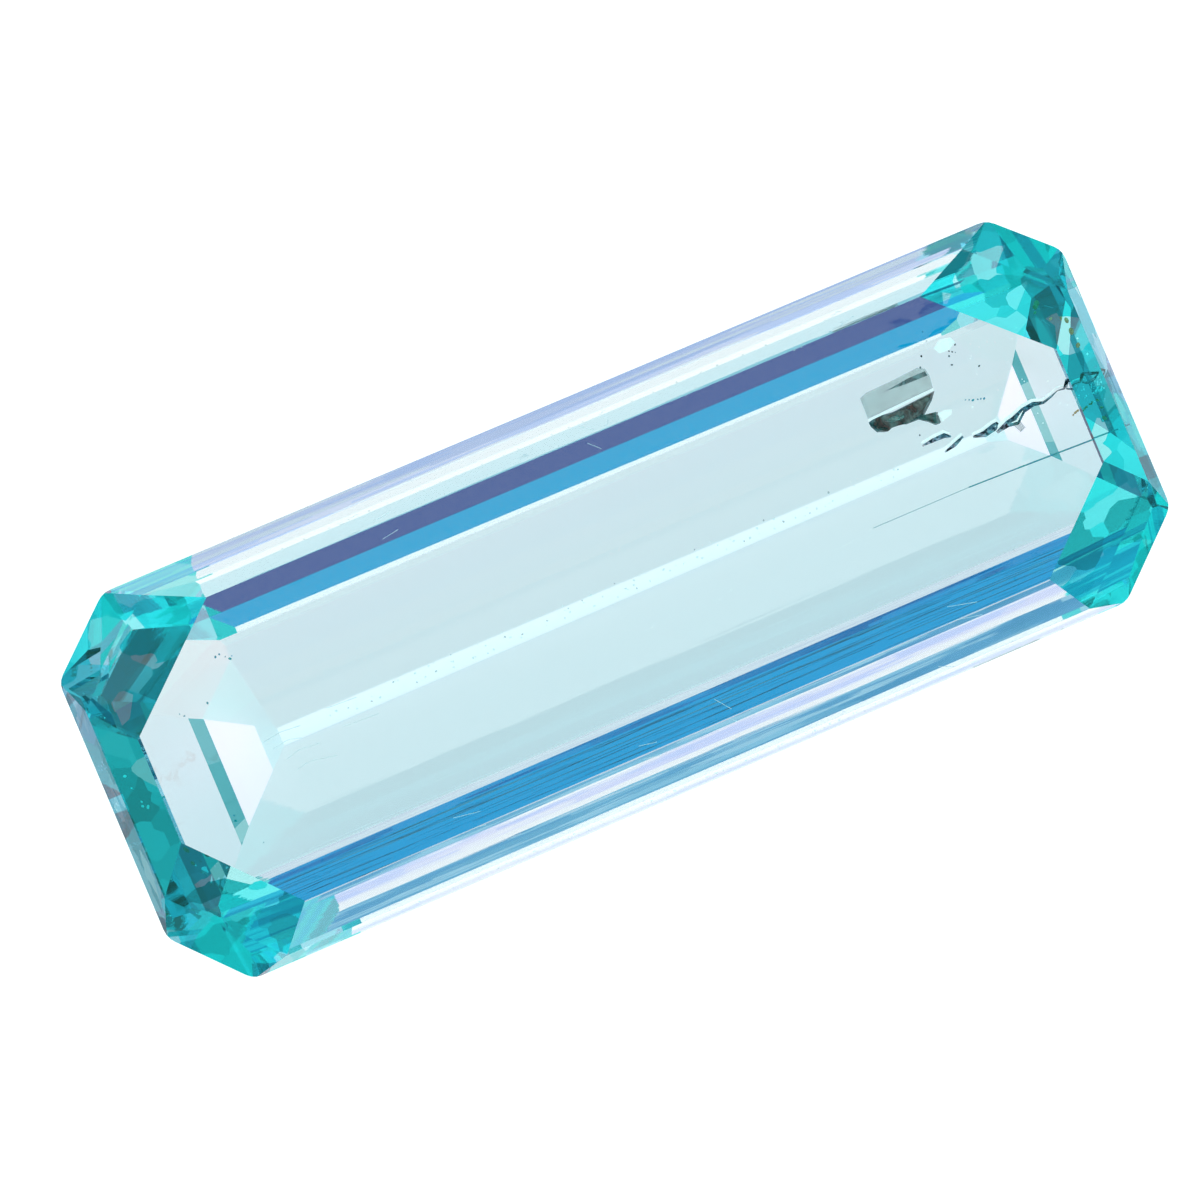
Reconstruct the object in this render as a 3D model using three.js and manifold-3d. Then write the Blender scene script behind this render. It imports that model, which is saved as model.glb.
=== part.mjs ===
// An emerald, one loose step-cut stone: a long octagon with a two-step crown around a flat table, a thin
// girdle, and a deep pavilion whose steps run down to a narrow flat keel.
// Millimetres, +Z up, X along the stone. It lies on the widest facet of its pavilion's back side, as a
// loose stone with a keel does, with that side turned to -Y, so its table leans towards -Y.
// The facets are set out in the stone's own frame: the table faces +Z, the girdle's upper edge is at
// z = 0, and a distance is measured in plan from the stone's middle.
import * as THREE from "three";
import { mergeVertices } from "three/addons/utils/BufferGeometryUtils.js";
import Module from "manifold-3d";

// Driving dimensions, in millimetres and degrees.
const HALF_LENGTH = 6.0;
const HALF_WIDTH = 2.255;
const GIRDLE_THICKNESS = 0.13;
const CROWN_STEP_HEIGHTS = [0.23, 0.3];
const PAVILION_DEPTH = 2.26;
const GIRDLE_CORNER_ROUNDING = 0.1;
const GIRDLE_CORNER_SEGMENTS = 3;
const RESTING_AZIMUTH = 89.5;
const RESTING_SLOPE = 26.7;
const BLOCK_SIZE = 40;

const EMERALD_COLOUR = 0x8fd6d8;
const POLISHED_ROUGHNESS = 0.05;

// The eight sides, counter-clockwise from the right end. azimuth is the way a side faces. girdle, crown and
// pavilion hold plan distances: the girdle's, the upper edge of each crown step, and the lower edge of each
// pavilion step with its slope from the girdle plane. The last pavilion step of a side runs to the keel.
const SIDES = [
  {
    name: "right end",
    azimuth: -0.45,
    girdle: HALF_LENGTH,
    crown: [5.88, 5.51],
    pavilion: [[74.8, 5.638], [66, 5.508], [36.6, 5.12], [35.8, 5.02], [32.4, 4.66], [12]],
  },
  {
    name: "back right corner",
    azimuth: 45.55,
    girdle: 5.34,
    crown: [4.95, 4.29],
    pavilion: [[65.8, 4.61], [38.8, 4.25], [36, 4.06], [32]],
  },
  {
    name: "back side",
    azimuth: RESTING_AZIMUTH,
    girdle: HALF_WIDTH,
    crown: [2.066, 1.762],
    pavilion: [[60.2, 1.552], [58.2, 1.278], [36.1, 1.201], [RESTING_SLOPE]],
  },
  {
    name: "back left corner",
    azimuth: 130.95,
    girdle: 5.12,
    crown: [4.72, 4.06],
    pavilion: [[59, 4.39], [35, 3.54], [30]],
  },
  {
    name: "left end",
    azimuth: 179.55,
    girdle: HALF_LENGTH,
    crown: [5.85, 5.44],
    pavilion: [[70.2, 5.7], [58.5, 5.425], [37.2, 4.86], [35.6, 4.706], [32.4, 4.223], [31]],
  },
  {
    name: "front left corner",
    azimuth: 221.55,
    girdle: 5.47,
    crown: [5.08, 4.45],
    pavilion: [[62, 4.72], [40, 4.2], [36, 4.03], [32]],
  },
  {
    name: "front side",
    azimuth: 270,
    girdle: HALF_WIDTH,
    crown: [2.16, 1.687],
    pavilion: [[64.3, 1.82], [44.1, 1.316], [40.4, 1.234], [33.6]],
  },
  {
    name: "front right corner",
    azimuth: 312.05,
    girdle: 5.11,
    crown: [4.77, 4.23],
    pavilion: [[69.4, 4.5], [36.8, 4.11], [35, 3.98], [32]],
  },
];

const CROWN_HEIGHT = CROWN_STEP_HEIGHTS.reduce((sum, height) => sum + height, 0);
const KEEL_Z = -GIRDLE_THICKNESS - PAVILION_DEPTH;

const wasm = await Module();
wasm.setup();

const radians = THREE.MathUtils.degToRad;
const tan = (degrees) => Math.tan(radians(degrees));

// A closed geometry as a solid that can be cut.
function solidOf(geometry) {
  const bare = geometry.clone();
  bare.deleteAttribute("normal");
  bare.deleteAttribute("uv");
  const merged = mergeVertices(bare, 1e-5);
  return new wasm.Manifold(
    new wasm.Mesh({
      numProp: 3,
      vertProperties: new Float32Array(merged.attributes.position.array),
      triVerts: new Uint32Array(merged.index.array),
    }),
  );
}

// A solid as a geometry with flat-shaded facets.
function geometryOf(solid) {
  const mesh = solid.getMesh();
  const geometry = new THREE.BufferGeometry();
  geometry.setAttribute("position", new THREE.BufferAttribute(mesh.vertProperties, mesh.numProp));
  geometry.setIndex(new THREE.BufferAttribute(mesh.triVerts, 1));
  const facets = geometry.toNonIndexed();
  facets.computeVertexNormals();
  return facets;
}

// The plan unit vector of an azimuth in degrees.
function planDirection(azimuth) {
  return new THREE.Vector2(Math.cos(radians(azimuth)), Math.sin(radians(azimuth)));
}

// The plan corner where the girdle lines of two neighbouring sides meet.
function girdleCorner(side, next) {
  const a = planDirection(side.azimuth);
  const b = planDirection(next.azimuth);
  const determinant = a.x * b.y - a.y * b.x;
  return new THREE.Vector2(
    (side.girdle * b.y - next.girdle * a.y) / determinant,
    (next.girdle * a.x - side.girdle * b.x) / determinant,
  );
}

// The girdle's outline: eight straight sides with slightly rounded corners.
function girdleOutline() {
  const corners = SIDES.map((side, i) => girdleCorner(side, SIDES[(i + 1) % SIDES.length]));
  const shape = new THREE.Shape();
  corners.forEach((corner, i) => {
    const before = corners[(i + corners.length - 1) % corners.length];
    const after = corners[(i + 1) % corners.length];
    const start = before.clone().sub(corner).setLength(GIRDLE_CORNER_ROUNDING).add(corner);
    const end = after.clone().sub(corner).setLength(GIRDLE_CORNER_ROUNDING).add(corner);
    if (i === 0) {
      shape.moveTo(start.x, start.y);
    } else {
      shape.lineTo(start.x, start.y);
    }
    shape.quadraticCurveTo(corner.x, corner.y, end.x, end.y);
  });
  shape.closePath();
  return shape;
}

// The outward normal of a facet of a side, sloping up (the crown) or down (the pavilion) from the girdle.
function facetNormal(azimuth, slope, facing) {
  const plan = planDirection(azimuth).multiplyScalar(Math.sin(radians(slope)));
  return new THREE.Vector3(plan.x, plan.y, facing * Math.cos(radians(slope)));
}

// Cuts away all of a solid that lies beyond a plane, given by a point on it and its outward normal.
function cutBeyond(solid, point, normal) {
  const block = new THREE.BoxGeometry(BLOCK_SIZE, BLOCK_SIZE, BLOCK_SIZE);
  block.translate(0, 0, BLOCK_SIZE / 2);
  block.applyQuaternion(new THREE.Quaternion().setFromUnitVectors(new THREE.Vector3(0, 0, 1), normal));
  block.translate(point.x, point.y, point.z);
  return solid.subtract(solidOf(block));
}

// The point of a side at a plan distance and a height.
function sidePoint(side, distance, z) {
  const plan = planDirection(side.azimuth).multiplyScalar(distance);
  return new THREE.Vector3(plan.x, plan.y, z);
}

// Cuts the crown steps of one side, from the girdle up to the table.
function cutCrown(solid, side) {
  let cut = solid;
  let distance = side.girdle;
  let z = 0;
  side.crown.forEach((upper, i) => {
    const height = CROWN_STEP_HEIGHTS[i];
    const slope = THREE.MathUtils.radToDeg(Math.atan2(height, distance - upper));
    cut = cutBeyond(cut, sidePoint(side, distance, z), facetNormal(side.azimuth, slope, 1));
    distance = upper;
    z += height;
  });
  return cut;
}

// Cuts the pavilion steps of one side, from the girdle down to the keel.
function cutPavilion(solid, side) {
  let cut = solid;
  let distance = side.girdle;
  let z = -GIRDLE_THICKNESS;
  side.pavilion.forEach(([slope, lower]) => {
    cut = cutBeyond(cut, sidePoint(side, distance, z), facetNormal(side.azimuth, slope, -1));
    if (lower !== undefined) {
      z -= (distance - lower) * tan(slope);
      distance = lower;
    }
  });
  return cut;
}

// The whole stone: a prism of the girdle's outline from keel to table, with every facet cut from it.
function cutStone() {
  const blank = new THREE.ExtrudeGeometry(girdleOutline(), {
    depth: CROWN_HEIGHT - KEEL_Z,
    bevelEnabled: false,
    curveSegments: GIRDLE_CORNER_SEGMENTS,
  });
  blank.translate(0, 0, KEEL_Z);
  let stone = solidOf(blank);
  SIDES.forEach((side) => {
    stone = cutPavilion(cutCrown(stone, side), side);
  });
  return geometryOf(stone);
}

const emerald = new THREE.Mesh(
  cutStone(),
  new THREE.MeshStandardMaterial({
    color: EMERALD_COLOUR,
    roughness: POLISHED_ROUGHNESS,
    metalness: 0,
  }),
);
emerald.name = "emerald";

// Turned until the back side faces -Y, tipped until that side's last facet is level underneath, and set
// down on it over the origin.
const FRONT_AZIMUTH = 270;
const lying = new THREE.Group();
lying.rotation.set(radians(RESTING_SLOPE), 0, radians(FRONT_AZIMUTH - RESTING_AZIMUTH));
lying.add(emerald);
lying.updateMatrixWorld(true);
const box = new THREE.Box3().setFromObject(lying, true);
const middle = box.getCenter(new THREE.Vector3());
lying.position.set(-middle.x, -middle.y, -box.min.z);

const part = new THREE.Group();
part.add(lying);

export default part;
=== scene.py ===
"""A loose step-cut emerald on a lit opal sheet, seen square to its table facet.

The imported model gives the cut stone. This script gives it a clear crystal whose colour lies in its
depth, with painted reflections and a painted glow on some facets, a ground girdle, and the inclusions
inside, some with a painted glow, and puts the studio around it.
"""
import logging
import math
import random
from dataclasses import dataclass, field
from enum import Enum
from typing import Optional, Sequence

import bmesh
import bpy
from mathutils import Matrix, Vector


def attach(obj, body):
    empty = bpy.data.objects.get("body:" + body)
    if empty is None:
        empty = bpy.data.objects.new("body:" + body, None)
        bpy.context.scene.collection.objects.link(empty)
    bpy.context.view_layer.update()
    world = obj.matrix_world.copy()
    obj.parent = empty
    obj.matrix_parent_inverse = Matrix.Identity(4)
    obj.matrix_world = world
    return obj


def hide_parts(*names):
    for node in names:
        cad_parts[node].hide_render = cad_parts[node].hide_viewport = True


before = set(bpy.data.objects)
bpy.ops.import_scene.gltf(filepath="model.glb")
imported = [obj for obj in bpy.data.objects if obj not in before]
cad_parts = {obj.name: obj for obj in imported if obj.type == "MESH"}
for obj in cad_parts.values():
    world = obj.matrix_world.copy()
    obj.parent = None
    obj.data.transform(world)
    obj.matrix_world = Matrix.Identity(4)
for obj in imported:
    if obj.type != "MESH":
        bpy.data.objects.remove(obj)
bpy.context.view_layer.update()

log = logging.getLogger("emerald")

MM = 0.001
BODY = "root"
NODE = "emerald"

# The stone's own frame: the table faces up, the girdle's upper edge is at height 0, and the plan's
# middle is the origin. In the world it is turned about the upright by the first angle, so that the side
# that it lies on faces -Y, and then tipped towards that side by the second.
TURN_DEG = 180.5
TABLE_LEAN_DEG = 26.7
HALF_WIDTH = 2.255
CROWN_HEIGHT = 0.53

# The photograph's frame, 1200 pixels square, and where the stone lies in it.
PHOTO_SIDE_PX = 1200
PHOTO_STONE_LENGTH_PX = 1094
PHOTO_STONE_LENGTH_MM = 12.0
PHOTO_STONE_MIDDLE_PX = (616.6, 598.8)
PHOTO_ROLL_DEG = 23.35
MM_PER_PX = PHOTO_STONE_LENGTH_MM / PHOTO_STONE_LENGTH_PX

# A lump's upper face is this much of its full plan.
LUMP_UPPER_SPREAD = 0.9


def linear(hex_colour: str) -> tuple[float, float, float, float]:
    """Turns an sRGB hex colour into a linear one with full alpha, by the sRGB standard's curve.

    Args:
        hex_colour: six hex digits, with or without a leading hash.

    Returns:
        Linear red, green and blue, and an alpha of 1.
    """
    digits = hex_colour.lstrip("#")
    channels = [int(digits[i:i + 2], 16) / 255 for i in (0, 2, 4)]
    r, g, b = [c / 12.92 if c <= 0.04045 else ((c + 0.055) / 1.055) ** 2.4 for c in channels]
    return (r, g, b, 1.0)


def add_node(tree: bpy.types.NodeTree, kind: str, settings: Optional[dict] = None,
             values: Optional[dict] = None, links: Optional[dict] = None,
             stops: Sequence[tuple[float, Sequence[float]]] = ()) -> bpy.types.Node:
    """Adds a node to a tree.

    Args:
        tree: the node tree.
        kind: the node's type name.
        settings: attributes of the node.
        values: input name or index to a constant.
        links: input name or index to an output socket that feeds it.
        stops: place and linear colour of each stop, for a colour ramp.

    Returns:
        The new node.
    """
    node = tree.nodes.new(kind)
    for name, value in (settings or {}).items():
        setattr(node, name, value)
    for name, value in (values or {}).items():
        node.inputs[name].default_value = value
    for name, socket in (links or {}).items():
        tree.links.new(socket, node.inputs[name])
    if stops:
        elements = node.color_ramp.elements
        for position, _ in stops[len(elements):]:
            elements.new(position)
        for element, (position, _) in zip(elements, stops):
            element.position = position
        for element, (_, colour) in zip(elements, stops):
            element.color = colour
    return node


def grain_place(tree: bpy.types.NodeTree, size_mm: tuple[float, float, float]) -> bpy.types.NodeSocket:
    """Gives the piece's own coordinates, counted in grains of a real size.

    Args:
        tree: the material's node tree.
        size_mm: the grain's length along X, Y and Z.

    Returns:
        The output that a pattern of scale 1 reads.
    """
    place = add_node(tree, "ShaderNodeTexCoord").outputs["Object"]
    scale = tuple(1 / (size * MM) for size in size_mm)
    fitted = add_node(tree, "ShaderNodeMapping", values={"Scale": scale}, links={"Vector": place})
    return fitted.outputs["Vector"]


@dataclass(frozen=True)
class CrystalFinish:
    """Clear beryl. Its colour is in its depth: short ways through it are pale and long ones deep.

    A painted reflection colour tints what passes a facet. Several lie side by side in crisp patches of
    about patch_mm, standing in for the images of other facets. A painted glow is a little light of the
    facet's own.
    The lines are those that polishing or wear left, line_mm long and wide and line_height_mm high.
    """

    name: str
    roughness: float
    ior: float = 1.577
    passed_colour: str = "7CCFDD"
    density_per_m: float = 200.0
    painted_reflection_colours: tuple[str, ...] = ("FFFFFF",)
    patch_mm: tuple[float, float, float] = (0.5, 0.3, 0.5)
    painted_glow_colour: str = "FFFFFF"
    painted_glow_strength: float = 0.0
    line_mm: tuple[float, float, float] = (3.0, 0.05, 0.05)
    line_detail: float = 2.0
    line_height_mm: float = 0.0

    def material(self) -> bpy.types.Material:
        """Builds the material: a refracting surface around an absorbing volume.

        Returns:
            The new material.
        """
        made = bpy.data.materials.new(self.name)
        made.use_nodes = True
        # Its faint light is met by chance and not aimed at, which is much quicker to render.
        made.cycles.emission_sampling = "NONE"
        tree = made.node_tree
        tree.nodes.clear()
        surface = add_node(tree, "ShaderNodeBsdfPrincipled", values={
            "Base Color": linear(self.painted_reflection_colours[0]),
            "Roughness": self.roughness,
            "IOR": self.ior,
            "Transmission Weight": 1.0,
            "Emission Color": linear(self.painted_glow_colour),
            "Emission Strength": self.painted_glow_strength,
        })
        if len(self.painted_reflection_colours) > 1:
            tree.links.new(self.patches(tree).outputs["Color"], surface.inputs["Base Color"])
        if self.line_height_mm > 0:
            lines = add_node(tree, "ShaderNodeTexNoise", values={"Scale": 1.0, "Detail": self.line_detail},
                             links={"Vector": grain_place(tree, self.line_mm)})
            relief = add_node(tree, "ShaderNodeBump", values={
                "Strength": 1.0,
                "Distance": self.line_height_mm * MM,
            }, links={"Height": lines.outputs["Fac"]})
            tree.links.new(relief.outputs["Normal"], surface.inputs["Normal"])
        depth = add_node(tree, "ShaderNodeVolumeAbsorption", values={
            "Color": linear(self.passed_colour),
            "Density": self.density_per_m,
        })
        add_node(tree, "ShaderNodeOutputMaterial", links={
            "Surface": surface.outputs["BSDF"],
            "Volume": depth.outputs["Volume"],
        })
        return made

    def patches(self, tree: bpy.types.NodeTree) -> bpy.types.Node:
        """Adds crisp straight-edged patches, each in one of the painted reflection colours.

        Args:
            tree: the material's node tree.

        Returns:
            The node that gives each patch its colour.
        """
        cells = add_node(tree, "ShaderNodeTexVoronoi", {"distance": "MANHATTAN"}, {"Scale": 1.0},
                         {"Vector": grain_place(tree, self.patch_mm)})
        parts = add_node(tree, "ShaderNodeSeparateColor", links={"Color": cells.outputs["Color"]})
        count = len(self.painted_reflection_colours)
        stops = [(i / count, linear(colour)) for i, colour in enumerate(self.painted_reflection_colours)]
        ramp = add_node(tree, "ShaderNodeValToRGB", links={"Fac": parts.outputs["Red"]}, stops=stops)
        ramp.color_ramp.interpolation = "CONSTANT"
        return ramp


@dataclass(frozen=True)
class OpaqueFinish:
    """What lies in the stone or under it: a mineral, a crack's face, trapped fluid, or opal acrylic.

    Where it has a shade, its colour gives way to it in soft grains of about grain_mm, which also raise
    its surface. Otherwise it is one colour and smooth.
    """

    name: str
    colour: str
    roughness: float
    shade: Optional[str] = None
    grain_mm: float = 0.05
    grain_detail: float = 4.0
    grain_stirring: float = 0.8
    grain_edges: tuple[float, float] = (0.4, 0.62)
    relief_mm: float = 0.004
    glow_colour: str = "FFFFFF"
    glow: float = 0.0
    metallic: float = 0.0
    alpha: float = 1.0

    def material(self) -> bpy.types.Material:
        """Builds the material.

        Returns:
            The new material.
        """
        made = bpy.data.materials.new(self.name)
        made.use_nodes = True
        made.cycles.emission_sampling = "NONE"
        tree = made.node_tree
        tree.nodes.clear()
        surface = add_node(tree, "ShaderNodeBsdfPrincipled", values={
            "Base Color": linear(self.colour),
            "Roughness": self.roughness,
            "Metallic": self.metallic,
            "Alpha": self.alpha,
            "Emission Color": linear(self.glow_colour),
            "Emission Strength": self.glow,
        })
        if self.shade:
            self.add_grain(tree, surface)
        add_node(tree, "ShaderNodeOutputMaterial", links={"Surface": surface.outputs["BSDF"]})
        return made

    def add_grain(self, tree: bpy.types.NodeTree, surface: bpy.types.Node) -> None:
        """Lets soft grains shade and raise the surface.

        Args:
            tree: the material's node tree.
            surface: its shader.
        """
        grain = add_node(tree, "ShaderNodeTexNoise", values={
            "Scale": 1.0,
            "Detail": self.grain_detail,
            "Distortion": self.grain_stirring,
        }, links={"Vector": grain_place(tree, (self.grain_mm,) * 3)})
        share = add_node(tree, "ShaderNodeMapRange", values={
            "From Min": self.grain_edges[0],
            "From Max": self.grain_edges[1],
        }, links={"Value": grain.outputs["Fac"]})
        tone = add_node(tree, "ShaderNodeMixRGB", values={
            "Color1": linear(self.colour),
            "Color2": linear(self.shade),
        }, links={"Fac": share.outputs["Result"]})
        relief = add_node(tree, "ShaderNodeBump", values={
            "Strength": 1.0,
            "Distance": self.relief_mm * MM,
        }, links={"Height": grain.outputs["Fac"]})
        tree.links.new(tone.outputs["Color"], surface.inputs["Base Color"])
        tree.links.new(relief.outputs["Normal"], surface.inputs["Normal"])


class FacetKind(Enum):
    """How a facet's surface is worked, and what painted reflections and painted glow it carries."""

    POLISHED = 0
    GROUND = 1
    HAZY = 2
    DEEP = 3
    WORN = 4
    LINED = 5
    TINTED = 6
    MILKY = 7
    STRIPED = 8
    LILAC = 9
    RIMMED = 10


@dataclass
class Stone:
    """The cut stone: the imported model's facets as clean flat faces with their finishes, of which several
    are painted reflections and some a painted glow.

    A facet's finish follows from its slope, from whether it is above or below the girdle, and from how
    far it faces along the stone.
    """

    turn_deg: float = TURN_DEG
    lean_deg: float = TABLE_LEAN_DEG
    merge_distance: float = 1e-8
    flat_within_deg: float = 0.3
    upright_limit: float = 0.08
    keel_limit: float = 0.999
    painted_glow_slopes_deg: tuple[float, float] = (34.5, 41.0)
    bright_glow_slopes_deg: tuple[float, float] = (32.2, 32.6)
    end_step_reflection_slopes_deg: tuple[float, float] = (35.3, 36.15)
    end_step_endward: float = 0.99
    flat_slope_deg: float = 1.0
    corner_endward: float = 0.3
    blue_reflection_slopes_deg: tuple[float, float] = (57.5, 59.0)
    violet_reflection_slopes_deg: tuple[float, float] = (49.0, 52.0)
    steep_slope_deg: float = 55.0
    to_world: Matrix = field(default_factory=Matrix)
    piece: Optional[bpy.types.Object] = None

    def own_axes(self) -> Matrix:
        """Gives the rotation from the stone's own frame to the world."""
        tip = Matrix.Rotation(math.radians(self.lean_deg), 4, "X")
        return tip @ Matrix.Rotation(math.radians(self.turn_deg), 4, "Z")

    def build(self) -> None:
        """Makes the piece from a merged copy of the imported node, with one face for each facet."""
        source = bpy.data.objects[NODE]
        bm = bmesh.new()
        bm.from_mesh(source.data)
        bmesh.ops.remove_doubles(bm, verts=bm.verts[:], dist=self.merge_distance)
        bmesh.ops.dissolve_limit(bm, angle_limit=math.radians(self.flat_within_deg), verts=bm.verts[:],
                                 edges=bm.edges[:])
        self.find_own_frame(bm)
        turn = self.own_axes().inverted()
        for face in bm.faces:
            face.material_index = self.kind_of(turn @ face.normal).value
            face.smooth = False
        mesh = bpy.data.meshes.new("cut_stone")
        bm.to_mesh(mesh)
        bm.free()
        self.piece = bpy.data.objects.new("cut_stone", mesh)
        bpy.context.scene.collection.objects.link(self.piece)

    def find_own_frame(self, bm: bmesh.types.BMesh) -> None:
        """Finds where the stone's own frame lies in the world, from its outermost points.

        Args:
            bm: the stone as it lies in the world.
        """
        turn = self.own_axes()
        own = [turn.inverted() @ v.co for v in bm.verts]
        lengthwise = [point.x for point in own]
        middle = Vector((
            (min(lengthwise) + max(lengthwise)) / 2,
            min(point.y for point in own) + HALF_WIDTH * MM,
            max(point.z for point in own) - CROWN_HEIGHT * MM,
        ))
        self.to_world = turn @ Matrix.Translation(middle) @ Matrix.Scale(MM, 4)

    def kind_of(self, normal: Vector) -> FacetKind:
        """Tells how a facet is worked.

        Args:
            normal: the facet's outward normal in the stone's own frame.

        Returns:
            The facet's kind.
        """
        if abs(normal.z) < self.upright_limit:
            return FacetKind.GROUND
        if normal.z < -self.keel_limit:
            return FacetKind.WORN
        slope = math.degrees(math.acos(min(1.0, abs(normal.z))))
        if slope < self.flat_slope_deg:
            return FacetKind.POLISHED
        endward = abs(normal.x) / math.hypot(normal.x, normal.y)
        below = normal.z < 0
        if endward < self.corner_endward:
            if normal.y > 0 and below and self.within(slope, self.blue_reflection_slopes_deg):
                return FacetKind.STRIPED
            if normal.y > 0 and not below and self.within(slope, self.violet_reflection_slopes_deg):
                return FacetKind.LILAC
            return FacetKind.LINED
        if not below:
            return FacetKind.TINTED if slope < self.steep_slope_deg else FacetKind.RIMMED
        if endward > self.end_step_endward and self.within(slope, self.end_step_reflection_slopes_deg):
            return FacetKind.DEEP
        if endward > self.end_step_endward and self.within(slope, self.bright_glow_slopes_deg):
            return FacetKind.MILKY
        if self.within(slope, self.painted_glow_slopes_deg):
            return FacetKind.HAZY
        return FacetKind.POLISHED

    @staticmethod
    def within(value: float, limits: tuple[float, float]) -> bool:
        """Tells whether a value lies between two limits."""
        return limits[0] < value < limits[1]

    def dress(self) -> None:
        """Gives the facets their finishes and hands the piece to the frame."""
        for kind in FacetKind:
            self.piece.data.materials.append(FACET_FINISHES[kind].material())
        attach(self.piece, BODY)
        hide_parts(NODE)


def skin(bm: bmesh.types.BMesh, rings: Sequence[Sequence[bmesh.types.BMVert]]) -> None:
    """Closes a row of point rings: a wall between each two of them, and a cap at either end.

    Args:
        bm: the mesh that holds the points.
        rings: the rings in order, each with as many points.
    """
    count = len(rings[0])
    for near, far in zip(rings, rings[1:]):
        for i in range(count):
            after = (i + 1) % count
            bm.faces.new((near[i], near[after], far[after], far[i]))
    bm.faces.new(rings[0])
    bm.faces.new(list(reversed(rings[-1])))


def filled_outline(points: Sequence[tuple[float, float]], top: float, bottom: float, wobble: float,
                   seed: int) -> bmesh.types.BMesh:
    """Makes a closed lump from a plan outline, drawn in at its upper face and roughened all over.

    Args:
        points: the outline in plan, in the stone's own frame.
        top: height of its upper face.
        bottom: height of its underside.
        wobble: the largest random shift of a point.
        seed: seed of those shifts.

    Returns:
        A closed mesh in millimetres.
    """
    rng = random.Random(seed)
    bm = bmesh.new()
    middle = Vector((sum(p[0] for p in points) / len(points), sum(p[1] for p in points) / len(points)))
    levels = ((top, LUMP_UPPER_SPREAD), ((top + bottom) / 2, 1.0), (bottom, 1.0))
    rings = []
    for height, spread in levels:
        ring = []
        for x, y in points:
            flat = middle + (Vector((x, y)) - middle) * spread
            shift = Vector([rng.uniform(-wobble, wobble) for _ in range(3)])
            ring.append(bm.verts.new(Vector((flat.x, flat.y, height)) + shift))
        rings.append(ring)
    skin(bm, rings)
    bmesh.ops.triangulate(bm, faces=bm.faces[:])
    bmesh.ops.recalc_face_normals(bm, faces=bm.faces[:])
    return bm


def ribbon(points: Sequence[tuple[float, float, float]], widths: Sequence[float], thickness: float,
           twist_deg: float) -> bmesh.types.BMesh:
    """Makes a closed twisting ribbon along a path.

    Args:
        points: the path in the stone's own frame.
        widths: the ribbon's width at each point.
        thickness: its thickness.
        twist_deg: how far it turns about its path from one point to the next.

    Returns:
        A closed mesh in millimetres.
    """
    bm = bmesh.new()
    rings = []
    path = [Vector(p) for p in points]
    for i, (point, width) in enumerate(zip(path, widths)):
        ahead = path[min(i + 1, len(path) - 1)] - path[max(i - 1, 0)]
        ahead.normalize()
        aside = ahead.cross(Vector((0, 0, 1))).normalized()
        turn = Matrix.Rotation(math.radians(twist_deg * i), 3, ahead)
        wide = turn @ aside * width / 2
        thin = turn @ ahead.cross(aside) * thickness / 2
        corners = (wide + thin, -wide + thin, -wide - thin, wide - thin)
        rings.append([bm.verts.new(point + corner) for corner in corners])
    skin(bm, rings)
    bmesh.ops.recalc_face_normals(bm, faces=bm.faces[:])
    return bm


def inner_piece(name: str, bm: bmesh.types.BMesh, stone: Stone, finish: OpaqueFinish) -> None:
    """Turns a mesh in the stone's own frame into a finished piece that rides on the stone's body.

    Args:
        name: the piece's name.
        bm: the mesh in millimetres, freed here.
        stone: the stone that it lies in.
        finish: the finish it gets.
    """
    bm.transform(stone.to_world)
    mesh = bpy.data.meshes.new(name)
    bm.to_mesh(mesh)
    bm.free()
    mesh.materials.append(finish.material())
    piece = bpy.data.objects.new(name, mesh)
    bpy.context.scene.collection.objects.link(piece)
    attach(piece, BODY)


@dataclass(frozen=True)
class Lump:
    """One part of the block inclusion. Its rise is how far it starts above the inclusion's top."""

    name: str
    outline: Sequence[tuple[float, float]]
    finish: OpaqueFinish
    thickness: float
    rise: float = 0.0
    wobble: float = 0.0


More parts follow.
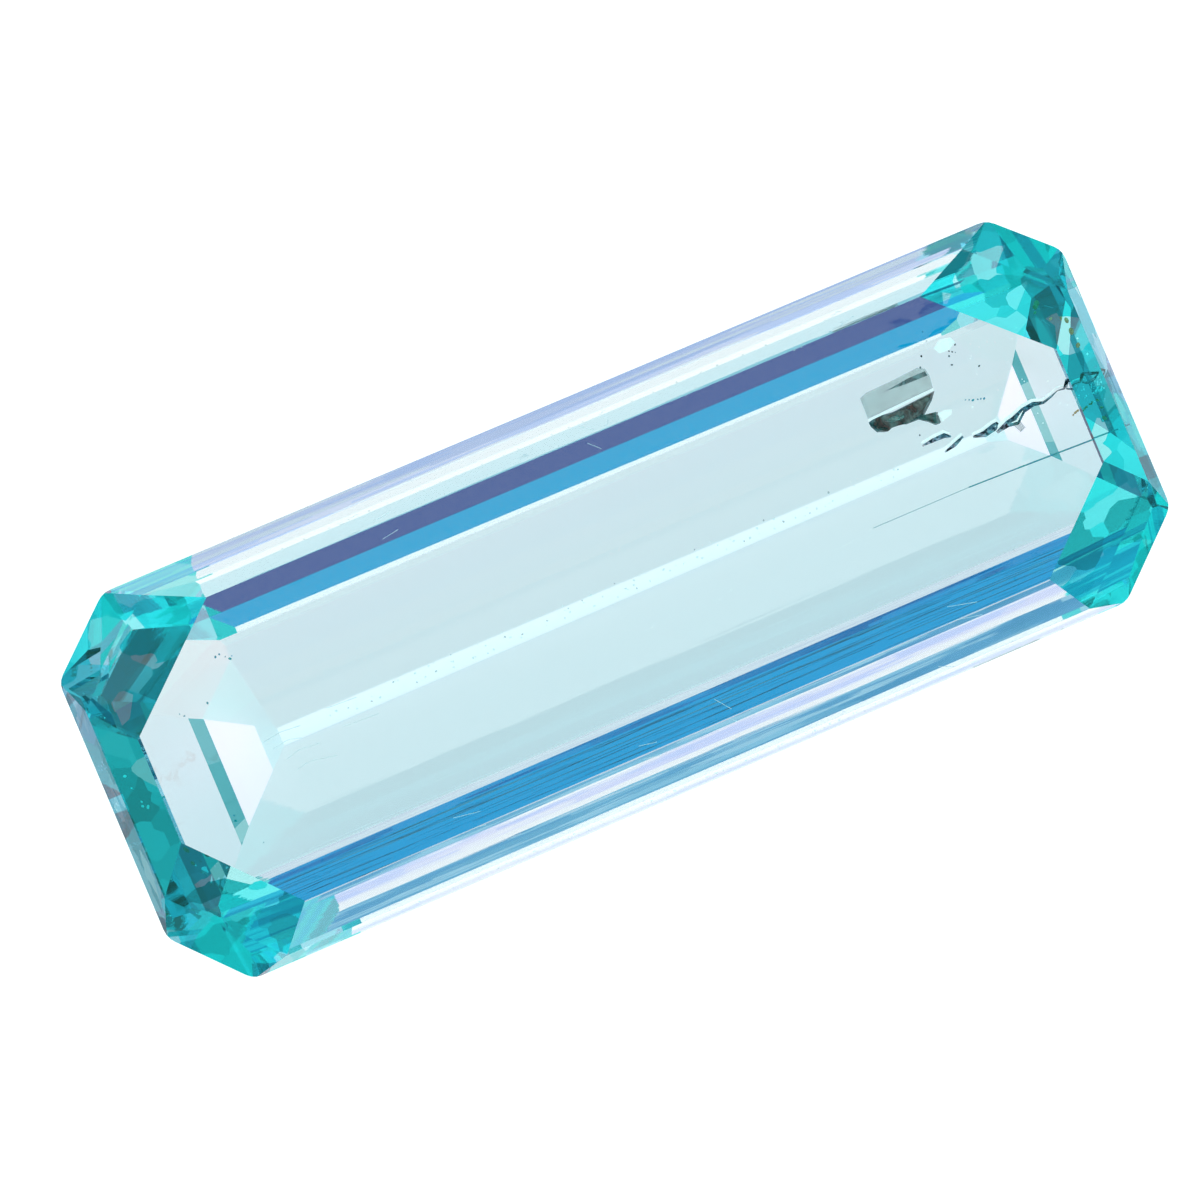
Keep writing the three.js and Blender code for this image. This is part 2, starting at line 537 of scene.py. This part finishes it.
@dataclass
class BlockInclusion:
    """A blocky crystal inside the right end: a grey glassy part beside a dark ragged body."""

    top: float = -0.35
    body_thickness: float = 0.16
    face_thickness: float = 0.02
    film_thickness: float = 0.01
    film_rise: float = 0.02
    glint_rise: float = 0.03
    dark_outline: Sequence[tuple[float, float]] = (
        (3.31, 0.67), (3.41, 0.70), (3.60, 0.68), (4.11, 0.71), (4.04, 0.63), (3.89, 0.52), (3.93, 0.50),
        (4.06, 0.48), (4.03, 0.36), (3.98, 0.37), (3.91, 0.44), (3.84, 0.50), (3.69, 0.50), (3.58, 0.53),
        (3.49, 0.53), (3.43, 0.51), (3.36, 0.54), (3.32, 0.63),
    )
    grey_outline: Sequence[tuple[float, float]] = (
        (3.33, 0.96), (3.41, 0.99), (3.72, 1.00), (4.04, 1.02), (4.11, 0.98), (4.13, 0.89), (4.11, 0.75),
        (3.32, 0.72),
    )
    streak_outline: Sequence[tuple[float, float]] = (
        (3.62, 0.925), (3.90, 0.955), (4.10, 0.955), (4.11, 0.90), (3.85, 0.905),
    )
    rim_outline: Sequence[tuple[float, float]] = ((3.31, 0.69), (3.32, 0.71), (4.11, 0.745), (4.11, 0.725))
    glint_outline: Sequence[tuple[float, float]] = (
        (3.48, 0.62), (3.56, 0.64), (3.70, 0.60), (3.68, 0.575), (3.54, 0.585),
    )
    halo_outline: Sequence[tuple[float, float]] = (
        (4.29, 1.14), (4.38, 1.20), (4.50, 1.19), (4.53, 1.12), (4.44, 1.06), (4.32, 1.07),
    )
    bright_corner_outline: Sequence[tuple[float, float]] = (
        (4.04, 0.47), (4.12, 0.48), (4.21, 0.45), (4.18, 0.40), (4.06, 0.37),
    )

    def lumps(self) -> list[Lump]:
        """Lists the dark body, the grey part, the streak in it and the painted highlights beside it, white
        faces that glow.

        Returns:
            The parts, each with its outline, finish and heights.
        """
        return [
            Lump("block_dark_body", self.dark_outline, DARK_MINERAL, self.body_thickness, wobble=0.012),
            Lump("block_grey_body", self.grey_outline, GREY_MINERAL, self.body_thickness, wobble=0.004),
            Lump("block_streak", self.streak_outline, SMOKY_STREAK, self.film_thickness, self.film_rise),
            # The rim, the halo and the bright corner are painted highlights, white faces that glow.
            Lump("block_rim", self.rim_outline, WHITE_PAINTED_GLOW, self.film_thickness, self.film_rise),
            Lump("block_glint", self.glint_outline, GREY_MINERAL, self.film_thickness, self.glint_rise,
                 wobble=0.006),
            Lump("block_halo", self.halo_outline, WHITE_PAINTED_GLOW, self.face_thickness, wobble=0.008),
            Lump("block_bright_corner", self.bright_corner_outline, WHITE_PAINTED_GLOW, self.face_thickness,
                 wobble=0.004),
        ]

    def build(self, stone: Stone) -> None:
        """Makes each part of the inclusion.

        Args:
            stone: the stone that it lies in.
        """
        for seed, lump in enumerate(self.lumps()):
            top = self.top + lump.rise
            mesh = filled_outline(lump.outline, top, top - lump.thickness, lump.wobble, seed)
            inner_piece(lump.name, mesh, stone, lump.finish)


@dataclass
class Feather:
    """A healed crack that runs from the block inclusion to the right end as a twisting dark ribbon.

    Each path holds the plan place and the width of its points. The first ones, as many as gleaming says,
    have a painted highlight beside them: a white, glowing copy of the ribbon.
    """

    depth: float = -0.25
    thickness: float = 0.008
    twist_deg: float = 13.0
    swelling: float = 1.5
    gleaming: int = 4
    gleam_shift: tuple[float, float, float] = (0.0, 0.035, -0.02)
    chip_outline: Sequence[tuple[float, float]] = ((4.76, 0.04), (4.84, 0.04), (4.87, -0.05), (4.81, -0.07))
    chip_thickness: float = 0.04
    chip_wobble: float = 0.01
    chip_seed: int = 7
    paths: Sequence[Sequence[tuple[float, float, float]]] = (
        ((3.75, 0.21, 0.012), (3.88, 0.22, 0.03), (4.02, 0.22, 0.04), (4.08, 0.18, 0.012)),
        ((3.95, 0.05, 0.012), (4.08, 0.08, 0.03), (4.20, 0.13, 0.016)),
        ((4.30, 0.08, 0.016), (4.43, 0.06, 0.05), (4.56, 0.09, 0.06), (4.61, 0.12, 0.02)),
        ((4.56, 0.02, 0.02), (4.70, 0.06, 0.05), (4.80, 0.06, 0.08), (4.92, 0.13, 0.05), (5.05, 0.15, 0.05),
         (5.16, 0.12, 0.035), (5.27, 0.15, 0.05), (5.35, 0.18, 0.045), (5.44, 0.17, 0.04)),
        ((5.44, 0.17, 0.03), (5.49, 0.24, 0.03), (5.57, 0.22, 0.03), (5.71, 0.18, 0.03), (5.62, 0.14, 0.03),
         (5.51, 0.13, 0.03), (5.45, 0.16, 0.02)),
    )

    def build(self, stone: Stone) -> None:
        """Makes one ribbon for each stretch of the crack that shows, and the chip beside it.

        Args:
            stone: the stone that it lies in.
        """
        for i, path in enumerate(self.paths):
            points = [(x, y, self.depth) for x, y, _ in path]
            widths = [width * self.swelling for _, _, width in path]
            mesh = ribbon(points, widths, self.thickness, self.twist_deg)
            inner_piece(f"feather_{i + 1}", mesh, stone, CRACK_FACE)
            # A painted highlight: a white glowing copy of the ribbon, shifted a little and twisted the
            # other way.
            if i < self.gleaming:
                shifted = [tuple(Vector(point) + Vector(self.gleam_shift)) for point in points]
                gleam = ribbon(shifted, widths, self.thickness, -self.twist_deg)
                inner_piece(f"feather_gleam_{i + 1}", gleam, stone, WHITE_PAINTED_GLOW)
        chip = filled_outline(self.chip_outline, self.depth, self.depth - self.chip_thickness,
                              self.chip_wobble, self.chip_seed)
        inner_piece("feather_chip", chip, stone, GREY_MINERAL)


@dataclass
class Needle:
    """A fine straight growth tube across the right end, filled with fluid, and its faint outer part.

    Each stretch holds its start, its end and its width.
    """

    stretches: Sequence[tuple[tuple[float, float, float], tuple[float, float, float], float]] = (
        ((4.62, -0.43, -0.6), (5.55, -0.47, -0.6), 0.018),
        ((4.04, -0.41, -0.6), (4.62, -0.43, -0.6), 0.015),
        ((2.9, -0.405, -0.6), (4.04, -0.41, -0.6), 0.006),
    )

    def build(self, stone: Stone) -> None:
        """Makes each stretch of the tube.

        Args:
            stone: the stone that it lies in.
        """
        for i, (start, end, width) in enumerate(self.stretches):
            tube = ribbon((start, end), (width, width), thickness=width, twist_deg=0.0)
            inner_piece(f"growth_tube_{i + 1}", tube, stone, TRAPPED_FLUID_PAINTED_GLOW)


@dataclass
class Wisps:
    """Fine pale threads: scuffs at the keel's left end, and hairline scratches across the long sides."""

    depth: float = -0.2
    width: float = 0.006
    thickness: float = 0.003
    scuffs: Sequence[tuple[tuple[float, float], ...]] = (
        ((-4.18, 0.09), (-3.98, 0.12), (-3.74, 0.10)),
        ((-4.12, -0.02), (-3.93, 0.01), (-3.78, -0.03)),
        ((-4.02, -0.18), (-3.86, -0.14), (-3.62, -0.16)),
        ((-3.96, -0.33), (-3.80, -0.30), (-3.50, -0.36)),
        ((-3.40, 0.16), (-3.05, 0.14)),
        ((-3.30, -0.10), (-2.90, -0.12)),
    )
    scratches: Sequence[tuple[tuple[float, float], ...]] = (
        ((0.55, -1.44), (0.68, -1.61)),
        ((-0.42, -1.58), (-0.22, -1.62)),
        ((0.38, 1.70), (0.50, 1.58)),
        ((2.95, -1.98), (3.12, -2.06)),
        ((-2.1, 1.62), (-1.9, 1.65)),
        ((3.30, -1.52), (3.62, -1.60)),
        ((-2.60, -1.50), (-2.30, -1.55)),
    )

    def build(self, stone: Stone) -> None:
        """Makes one thread for each scuff and scratch.

        Args:
            stone: the stone that they lie in.
        """
        for kind, paths in (("scuff", self.scuffs), ("scratch", self.scratches)):
            for i, path in enumerate(paths):
                points = [(x, y, self.depth) for x, y in path]
                thread = ribbon(points, [self.width] * len(points), self.thickness, twist_deg=0.0)
                inner_piece(f"{kind}_{i + 1}", thread, stone, FINE_LINE_PAINTED_GLOW)


@dataclass
class Grains:
    """Small uneven grains of one kind inside the stone, at given places in plan.

    A grain is a ball of the radius, squeezed across and in height, and scaled by chance between the
    smallest and the largest share.
    """

    name: str
    places: Sequence[tuple[float, float]]
    finish: OpaqueFinish
    radius: float
    depth: float = -0.3
    across: float = 0.7
    flatness: float = 0.5
    smallest: float = 0.5
    largest: float = 1.4
    subdivisions: int = 2
    seed: int = 1

    def scatter_tree(self) -> bpy.types.NodeTree:
        """Builds the node tree that puts a turned, uneven grain at each point.

        Returns:
            The tree, with inputs for the grain's size, flatness, seed and finish.
        """
        tree = bpy.data.node_groups.new(self.name, "GeometryNodeTree")
        for name, kind in (("Geometry", "Geometry"), ("Radius", "Float"), ("Flatness", "Float"),
                           ("Seed", "Int"), ("Finish", "Material")):
            tree.interface.new_socket(name, in_out="INPUT", socket_type=f"NodeSocket{kind}")
        tree.interface.new_socket("Geometry", in_out="OUTPUT", socket_type="NodeSocketGeometry")
        given = add_node(tree, "NodeGroupInput").outputs
        ball = add_node(tree, "GeometryNodeMeshIcoSphere", values={"Subdivisions": self.subdivisions},
                        links={"Radius": given["Radius"]})
        squeeze = add_node(tree, "ShaderNodeCombineXYZ", values={"X": 1.0, "Y": self.across},
                           links={"Z": given["Flatness"]})
        grain = add_node(tree, "GeometryNodeTransform",
                         links={"Geometry": ball.outputs["Mesh"], "Scale": squeeze.outputs["Vector"]})
        size = add_node(tree, "FunctionNodeRandomValue", {"data_type": "FLOAT"},
                        {2: self.smallest, 3: self.largest}, {"Seed": given["Seed"]})
        turn = add_node(tree, "FunctionNodeRandomValue", {"data_type": "FLOAT_VECTOR"},
                        {1: (0.0, 0.0, math.tau)}, {"Seed": given["Seed"]})
        placed = add_node(tree, "GeometryNodeInstanceOnPoints", links={
            "Points": given["Geometry"],
            "Instance": grain.outputs["Geometry"],
            "Rotation": turn.outputs["Value"],
            "Scale": size.outputs[1],
        })
        real = add_node(tree, "GeometryNodeRealizeInstances",
                        links={"Geometry": placed.outputs["Instances"]})
        dressed = add_node(tree, "GeometryNodeSetMaterial",
                           links={"Geometry": real.outputs["Geometry"], "Material": given["Finish"]})
        add_node(tree, "NodeGroupOutput", links={"Geometry": dressed.outputs["Geometry"]})
        return tree

    def build(self, stone: Stone) -> None:
        """Scatters the grains and makes them one plain mesh that rides on the stone's body.

        Args:
            stone: the stone that they lie in.
        """
        points = bpy.data.meshes.new(f"{self.name}_points")
        spots = [stone.to_world @ Vector((x, y, self.depth)) for x, y in self.places]
        points.from_pydata(spots, [], [])
        piece = bpy.data.objects.new(self.name, points)
        bpy.context.scene.collection.objects.link(piece)
        tree = self.scatter_tree()
        scatter = piece.modifiers.new("scatter", "NODES")
        scatter.node_group = tree
        settings = {
            "Radius": self.radius * MM,
            "Flatness": self.flatness,
            "Seed": self.seed,
            "Finish": self.finish.material(),
        }
        for item in tree.interface.items_tree:
            if item.in_out == "INPUT" and item.name in settings:
                scatter[item.identifier] = settings[item.name]
        seen = piece.evaluated_get(bpy.context.evaluated_depsgraph_get())
        grown = bpy.data.meshes.new_from_object(seen)
        piece.modifiers.remove(scatter)
        piece.data = grown
        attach(piece, BODY)


def along(start: tuple[float, float], end: tuple[float, float], count: int, drift: float,
          seed: int) -> list[tuple[float, float]]:
    """Gives places strung along a line, each a little off it.

    Args:
        start: the line's start in plan.
        end: its end.
        count: how many places.
        drift: the largest shift from the even places.
        seed: seed of those shifts.

    Returns:
        The places in plan.
    """
    rng = random.Random(seed)
    strung = []
    for i in range(count):
        share = i / (count - 1)
        x = start[0] + (end[0] - start[0]) * share + rng.uniform(-drift, drift)
        y = start[1] + (end[1] - start[1]) * share + rng.uniform(-drift, drift)
        strung.append((x, y))
    return strung


def all_grains() -> list[Grains]:
    """Lists every kind of grain that the stone holds.

    Returns:
        The kinds, each with its places, finish and size.
    """
    dark = ((4.41, 1.00), (4.46, 1.03), (4.52, 1.09), (4.40, 0.90), (4.07, 1.01), (4.25, 1.36),
            (4.25, 1.25), (4.13, 1.12), (4.67, 0.77), (3.77, 0.33), (4.43, 1.05), (4.49, 1.01))
    stains = ((5.46, 1.09), (5.43, 1.03), (5.49, 1.12), (5.56, 0.90), (5.68, 0.85), (5.64, -0.09),
              (5.65, -0.18), (5.63, -0.30), (5.68, 0.72), (5.69, 0.55))
    bubbles = ((-5.62, 0.35), (-5.56, -0.03), (-5.55, 0.02), (-5.50, -0.06), (-5.60, 0.20), (4.42, 0.38),
               (5.70, 0.42), (5.66, 0.62))
    drops = ((-4.30, 1.16), (-4.25, 1.17), (-4.20, 1.12), (-4.13, 1.10), (-4.16, 1.08), (-4.91, 0.74),
             (-4.87, 0.70), (-4.58, 0.73), (-4.62, -0.92), (-4.81, -0.58), (-4.80, -0.52))
    stain_line = along((5.40, -0.14), (5.56, -0.08), count=7, drift=0.012, seed=5)
    fluid_line = along((4.39, 0.48), (4.58, 0.42), count=6, drift=0.008, seed=8)
    pit_line = along((-3.4, 0.09), (3.5, 0.09), count=90, drift=0.08, seed=9)
    speck_line = along((-3.2, 0.08), (3.4, 0.10), count=26, drift=0.08, seed=10)
    dust_line = along((4.70, 1.0), (5.35, -0.2), count=30, drift=0.25, seed=11)
    # Bubbles, keel pits and end dust are white with a painted glow of their own; the stains, drops and blue
    # streak have a faint painted glow too.
    return [
        Grains("mica_specks", dark, DARK_MINERAL, radius=0.011, seed=3),
        Grains("iron_stains", stains, RUST_STAIN_PAINTED_GLOW, radius=0.035, depth=0.1, seed=4),
        Grains("dotted_stain", stain_line, RUST_STAIN_PAINTED_GLOW, radius=0.014, depth=0.1, seed=5),
        Grains("bubbles", bubbles, WHITE_PAINTED_GLOW, radius=0.022, depth=-0.12, seed=6),
        Grains("fluid_drops", drops, TRAPPED_FLUID_PAINTED_GLOW, radius=0.015, seed=7),
        Grains("blue_streak", fluid_line, TRAPPED_FLUID_PAINTED_GLOW, radius=0.013, flatness=0.3, seed=8),
        Grains("keel_pits", pit_line, WHITE_PAINTED_GLOW, radius=0.012, depth=-1.9, seed=9),
        Grains("keel_specks", speck_line, GREY_MINERAL, radius=0.012, depth=-1.85, seed=10),
        Grains("end_dust", dust_line, WHITE_PAINTED_GLOW, radius=0.008, seed=11),
    ]


@dataclass
class LightTable:
    """The lit opal sheet that the stone lies on, and its surround, which the stone does not mirror."""

    half_side: float = 0.028
    surround_half_side: float = 1.5
    gap: float = 0.00001

    def build(self) -> None:
        """Makes the sheet and its surround."""
        inner = self.ring(self.half_side)
        outer = self.ring(self.surround_half_side)
        finish = OPAL_ACRYLIC.material()
        count = len(inner)
        self.piece("opal_sheet", inner, [tuple(range(count))], finish)
        sides = [(i, (i + 1) % count, count + (i + 1) % count, count + i) for i in range(count)]
        surround = self.piece("opal_surround", outer + inner, sides, finish)
        surround.visible_transmission = False
        surround.visible_glossy = False

    def ring(self, reach: float) -> list[tuple[float, float, float]]:
        """Gives the four corners of a square just under the stone."""
        corners = [(-reach, -reach), (reach, -reach), (reach, reach), (-reach, reach)]
        return [(x, y, -self.gap) for x, y in corners]

    def piece(self, name: str, corners: Sequence[tuple[float, float, float]],
              faces: Sequence[tuple[int, ...]], finish: bpy.types.Material) -> bpy.types.Object:
        """Makes one flat stage piece.

        Args:
            name: the piece's name.
            corners: its points in metres.
            faces: the indices of each face's points.
            finish: its material.

        Returns:
            The piece.
        """
        mesh = bpy.data.meshes.new(name)
        mesh.from_pydata(corners, [], faces)
        mesh.materials.append(finish)
        made = bpy.data.objects.new(name, mesh)
        bpy.context.scene.collection.objects.link(made)
        return made


@dataclass(frozen=True)
class RoomTone:
    """The room's light in one direction: how far it leans from straight up, towards +Y."""

    bank_deg: float
    colour: str
    strength: float


@dataclass
class Studio:
    """The soft light around the stone, and the camera square to its table.

    The light's tones are fitted to the bands of colour that the photograph shows in the stone.
    """

    tones: Sequence[RoomTone] = (
        RoomTone(-96, "04ACEC", 1.25),
        RoomTone(-87, "38C4F8", 1.12),
        RoomTone(-79, "D4FBFF", 1.1),
        RoomTone(-68, "FFF7F4", 1.6),
        RoomTone(-45, "FFCFC4", 2.9),
        RoomTone(-8, "FFCFC4", 2.9),
        RoomTone(10, "FFE0E6", 1.5),
        RoomTone(33, "CFCBFF", 1.2),
        RoomTone(48, "8AA8FF", 1.0),
        RoomTone(62, "18C4FF", 0.97),
        RoomTone(71, "00C8FA", 0.92),
        RoomTone(74.5, "5866A4", 1.25),
        RoomTone(88, "2E4A6C", 1.0),
    )
    end_colour: str = "68FFF2"
    end_strength: float = 1.25
    end_reach: tuple[float, float] = (0.12, 0.35)
    lens_radius_deg: float = 3.0
    camera_distance: float = 0.35
    nearest_seen: float = 0.001
    farthest_seen: float = 10.0
    sensor_mm: float = 36.0
    light_bounces: int = 16

    def dimmed(self, colour: str, strength: float, peak: float) -> list[float]:
        """Gives a colour at its share of the room's peak strength, linear and with full alpha."""
        return [c * strength / peak for c in linear(colour)[:3]] + [1.0]

    def build_light(self, stone: Stone) -> None:
        """Sets the room's light: a warm bright ceiling, blue walls, teal ends and the dark lens.

        Args:
            stone: the stone, whose table faces the lens.
        """
        scene = bpy.context.scene
        world = bpy.data.worlds.new("studio_room")
        world.use_nodes = True
        scene.world = world
        tree = world.node_tree
        tree.nodes.clear()
        way = add_node(tree, "ShaderNodeTexCoord").outputs["Generated"]
        parts = add_node(tree, "ShaderNodeSeparateXYZ", links={"Vector": way})
        bank = add_node(tree, "ShaderNodeMath", {"operation": "ARCTAN2"},
                        links={0: parts.outputs["Y"], 1: parts.outputs["Z"]})
        share = add_node(tree, "ShaderNodeMapRange", values={
            "From Min": -math.pi,
            "From Max": math.pi,
        }, links={"Value": bank.outputs[0]})
        peak = max(tone.strength for tone in self.tones)
        stops = [((tone.bank_deg + 180) / 360, self.dimmed(tone.colour, tone.strength, peak))
                 for tone in self.tones]
        ramp = add_node(tree, "ShaderNodeValToRGB", links={"Fac": share.outputs["Result"]}, stops=stops)
        aside = add_node(tree, "ShaderNodeMath", {"operation": "ABSOLUTE"}, links={0: parts.outputs["X"]})
        at_end = add_node(tree, "ShaderNodeMapRange", {"interpolation_type": "SMOOTHSTEP"}, {
            "From Min": self.end_reach[0],
            "From Max": self.end_reach[1],
        }, {"Value": aside.outputs[0]})
        end = self.dimmed(self.end_colour, self.end_strength, peak)
        walls = add_node(tree, "ShaderNodeMixRGB", values={"Color2": end},
                         links={"Fac": at_end.outputs["Result"], "Color1": ramp.outputs["Color"]})
        facing = add_node(tree, "ShaderNodeVectorMath", {"operation": "DOT_PRODUCT"},
                          {1: stone.own_axes().to_3x3() @ Vector((0, 0, 1))}, {0: way})
        lens = add_node(tree, "ShaderNodeMath", {"operation": "LESS_THAN"},
                        {1: math.cos(math.radians(self.lens_radius_deg))},
                        {0: facing.outputs["Value"]})
        level = add_node(tree, "ShaderNodeMath", {"operation": "MULTIPLY"}, {1: peak},
                         {0: lens.outputs[0]})
        room = add_node(tree, "ShaderNodeBackground", links={
            "Color": walls.outputs["Color"],
            "Strength": level.outputs[0],
        })
        add_node(tree, "ShaderNodeOutputWorld", links={"Surface": room.outputs["Background"]})
        scene.cycles.max_bounces = self.light_bounces
        scene.cycles.transmission_bounces = self.light_bounces
        scene.cycles.glossy_bounces = self.light_bounces
        scene.view_settings.view_transform = "Standard"
        scene.view_settings.look = "None"

    def build_camera(self, stone: Stone) -> None:
        """Aims the camera down the table's normal, framed and rolled as the photograph is.

        Args:
            stone: the stone to look at.
        """
        lens = bpy.data.cameras.new("camera")
        camera = bpy.data.objects.new("camera", lens)
        bpy.context.scene.collection.objects.link(camera)
        span = PHOTO_SIDE_PX * MM_PER_PX * MM
        lens.sensor_fit = "HORIZONTAL"
        lens.sensor_width = self.sensor_mm
        lens.lens = self.sensor_mm * self.camera_distance / span
        lens.clip_start = self.nearest_seen
        lens.clip_end = self.farthest_seen
        roll = Matrix.Rotation(math.radians(-PHOTO_ROLL_DEG), 4, "Z")
        right_px = PHOTO_SIDE_PX / 2 - PHOTO_STONE_MIDDLE_PX[0]
        up_px = PHOTO_STONE_MIDDLE_PX[1] - PHOTO_SIDE_PX / 2
        aside = roll @ Vector((right_px * MM_PER_PX, up_px * MM_PER_PX, 0))
        height = CROWN_HEIGHT + self.camera_distance / MM
        place = stone.to_world @ Vector((aside.x, aside.y, height))
        camera.matrix_world = Matrix.Translation(place) @ stone.own_axes() @ roll
        bpy.context.scene.camera = camera


# Facets lapped and polished: the eye sees sharp edges and clear images of the far side.
POLISHED_CRYSTAL = CrystalFinish("polished_beryl", roughness=0.0)
# The girdle as it left the grinding wheel: fine and matt, it glows softly where light enters it.
GROUND_CRYSTAL = CrystalFinish("ground_beryl_girdle", roughness=0.35)
# End and corner facets of the pavilion, pale and a little milky from a painted warm glow of their own.
END_GLOW_PAINTED_CRYSTAL = CrystalFinish("hazy_beryl_end", roughness=0.0, painted_glow_colour="FFAEA2", painted_glow_strength=0.19)
# The last but one step of each end, where the painted glow is strongest: milky white.
BRIGHT_GLOW_PAINTED_CRYSTAL = CrystalFinish("milky_beryl_end_step", roughness=0.0, painted_glow_colour="FFB5C8", painted_glow_strength=0.48)
# A narrow end step that mirrors the whole length of the stone, and so shows its deepest colour, drawn as
# painted reflections in teal patches.
END_STEP_PAINTED_REFLECTION_CRYSTAL = CrystalFinish("deep_beryl_step", roughness=0.0, patch_mm=(2.0, 0.5, 2.0),
                             painted_reflection_colours=("4FA3A5", "8CCBC4", "2E8E90", "4FA3A5"))
# The keel, scuffed by what the stone has lain on: it scatters more light than a polished facet, and has a
# painted glow.
SCUFFED_PAINTED_GLOW_CRYSTAL = CrystalFinish("worn_beryl_keel", roughness=0.1, painted_glow_colour="FFFFFF", painted_glow_strength=0.25,
                             line_mm=(0.12, 0.04, 0.04), line_height_mm=0.0006)
# The long side facets, polished along their length: their lines draw fine streaks in what they mirror.
LINED_CRYSTAL = CrystalFinish("wheel_lined_beryl_side", roughness=0.0, line_height_mm=0.00025)
# The second step under the girdle of the side that the stone lies on: painted reflections in blue streaks.
BLUE_PAINTED_REFLECTION_CRYSTAL = CrystalFinish("blue_streaked_beryl_step", roughness=0.0, patch_mm=(1.6, 0.05, 0.05),
                                painted_reflection_colours=("4FA2CC", "80C8E8", "2C80B4", "A8DCF4", "3C90C4"))
# The outer crown step of the same side: painted reflections in fine lilac streaks.
VIOLET_PAINTED_REFLECTION_CRYSTAL = CrystalFinish("lilac_streaked_beryl_step", roughness=0.0, patch_mm=(2.5, 0.04, 0.04),
                              painted_reflection_colours=("C6CCFF", "F4F6FF", "A8BCFF", "D8D8FF"))
# The narrow outermost crown step at each end: painted reflections, fine streaks of sky blue between pale
# ones.
RIM_PAINTED_REFLECTION_CRYSTAL = CrystalFinish("blue_streaked_beryl_rim", roughness=0.0, patch_mm=(0.06, 0.5, 0.3),
                               painted_reflection_colours=("80CCEC", "D4F0FC", "48B0D0", "A0DCF4", "2C9CB4"))
# End and corner facets of the crown, seen along the stone's length: painted reflections, deep and mottled
# blue-green.
CROWN_END_PAINTED_REFLECTION_CRYSTAL = CrystalFinish("deep_beryl_crown_end", roughness=0.0, painted_reflection_colours=(
    "04D8DA", "14ECEC", "028C90", "38FAFA", "08E4E6", "04CCD0", "A4FFFA", "02ACB0"))
FACET_FINISHES = {
    FacetKind.POLISHED: POLISHED_CRYSTAL,
    FacetKind.GROUND: GROUND_CRYSTAL,
    FacetKind.HAZY: END_GLOW_PAINTED_CRYSTAL,
    FacetKind.DEEP: END_STEP_PAINTED_REFLECTION_CRYSTAL,
    FacetKind.WORN: SCUFFED_PAINTED_GLOW_CRYSTAL,
    FacetKind.LINED: LINED_CRYSTAL,
    FacetKind.TINTED: CROWN_END_PAINTED_REFLECTION_CRYSTAL,
    FacetKind.MILKY: BRIGHT_GLOW_PAINTED_CRYSTAL,
    FacetKind.STRIPED: BLUE_PAINTED_REFLECTION_CRYSTAL,
    FacetKind.LILAC: VIOLET_PAINTED_REFLECTION_CRYSTAL,
    FacetKind.RIMMED: RIM_PAINTED_REFLECTION_CRYSTAL,
}
# Biotite mica: near black, in thin flakes with a glossy cleavage that catches a little light.
DARK_MINERAL = OpaqueFinish("biotite_mica", colour="1A0E12", shade="728686", roughness=0.25,
                            grain_mm=0.13, relief_mm=0.012)
# A glassy grey-green feldspar seen through the beryl, cloudy in streaks.
GREY_MINERAL = OpaqueFinish("grey_green_feldspar", colour="8FA6A2", shade="E4F2EE", roughness=0.2,
                            grain_mm=0.16, alpha=0.28)
# A smoky film along one plane of the feldspar.
SMOKY_STREAK = OpaqueFinish("smoky_feldspar_streak", colour="48646C", shade="9CB4BA", roughness=0.3,
                            grain_mm=0.1, alpha=0.6)
# A clean break inside the stone that returns white light: white, with a painted glow of its own. Bubbles,
# pits, dust and painted highlights use it too.
WHITE_PAINTED_GLOW = OpaqueFinish("white_internal_break", colour="FFFFFF", shade="DDF2F6", roughness=0.4, glow=0.6)
# The silvery dark face of a healed crack, covered with tiny trapped drops.
CRACK_FACE = OpaqueFinish("healed_crack_face", colour="1C2430", shade="B4BECF", roughness=0.2,
                          grain_mm=0.04, metallic=0.6)
# A scratch or scuff, whose groove is too fine to show: a thin pale line, as coarse as it needs to be seen,
# with a painted glow of its own.
FINE_LINE_PAINTED_GLOW = OpaqueFinish("fine_scratch", colour="F4FCFF", shade="C8E6F2", roughness=0.5, glow=0.25,
                       alpha=0.55)
# Iron oxide in the fractures that reach the surface: rust brown, earthy and dull, with a faint painted
# glow.
RUST_STAIN_PAINTED_GLOW = OpaqueFinish("limonite_iron_stain", colour="B07A48", shade="EBC096", roughness=0.8,
                          glow_colour="C8884E", glow=0.22)
# Fluid trapped in tiny cavities, which takes up the stone's own blue-green, with a painted glow of its own.
TRAPPED_FLUID_PAINTED_GLOW = OpaqueFinish("trapped_fluid", colour="18A0A8", shade="3F7FB8", roughness=0.1,
                          glow_colour="18A8A8", glow=0.3, alpha=0.8)
# Opal acrylic over lamps: an even white with no shadow edge.
OPAL_ACRYLIC = OpaqueFinish("opal_acrylic_sheet", colour="B0AAAE", roughness=0.9, glow_colour="FBF8F7",
                            glow=0.97)


def main() -> None:
    """Builds the stone and the studio in order."""
    logging.basicConfig(level=logging.INFO, format="%(name)s: %(message)s")
    stone = Stone()
    stone.build()
    stone.dress()
    log.info("stone: %d facets", len(stone.piece.data.polygons))
    for inclusion in (BlockInclusion(), Feather(), Needle(), Wisps()):
        inclusion.build(stone)
        log.info("%s", type(inclusion).__name__)
    for grains in all_grains():
        grains.build(stone)
        log.info("%s: %d", grains.name, len(grains.places))
    LightTable().build()
    log.info("light table")
    studio = Studio()
    studio.build_light(stone)
    studio.build_camera(stone)
    log.info("studio")


if __name__ == "__main__":
    main()
